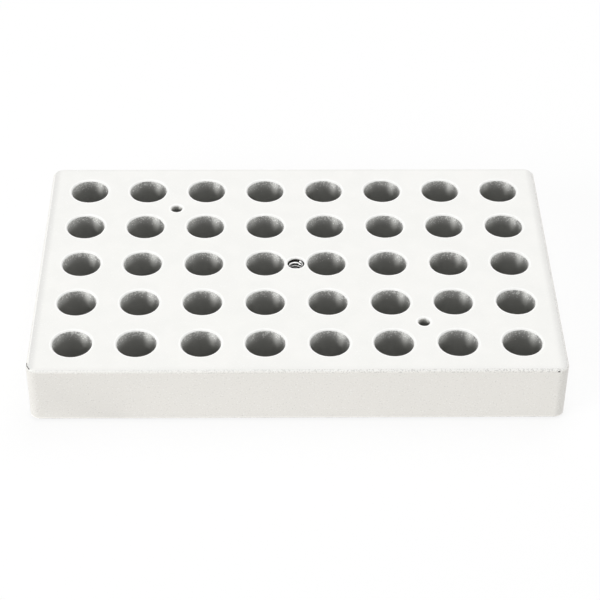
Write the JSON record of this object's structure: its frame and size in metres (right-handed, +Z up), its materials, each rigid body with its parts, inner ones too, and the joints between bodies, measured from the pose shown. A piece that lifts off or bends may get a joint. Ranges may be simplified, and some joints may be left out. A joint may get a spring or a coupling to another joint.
{
  "type": "dry block heater block",
  "caption": "Flat rectangular aluminium heating block with a grid of round vial wells, a central lifting thread and two fixing holes, for a dry block heater",
  "frame": {"origin": "middle of the underside", "axes": "+X along the longer side, +Y to the back, +Z up out of the wells"},
  "size_m": [0.1588, 0.1016, 0.0191],
  "materials": {
    "blasted_aluminium": "bead blasted, near white, with bare drilled walls in the wells",
    "insert_steel": "bright drawn wire"
  },
  "bodies": {
    "root": {"heating_block": "blasted_aluminium", "thread_insert": "insert_steel"}
  },
  "joints": []
}
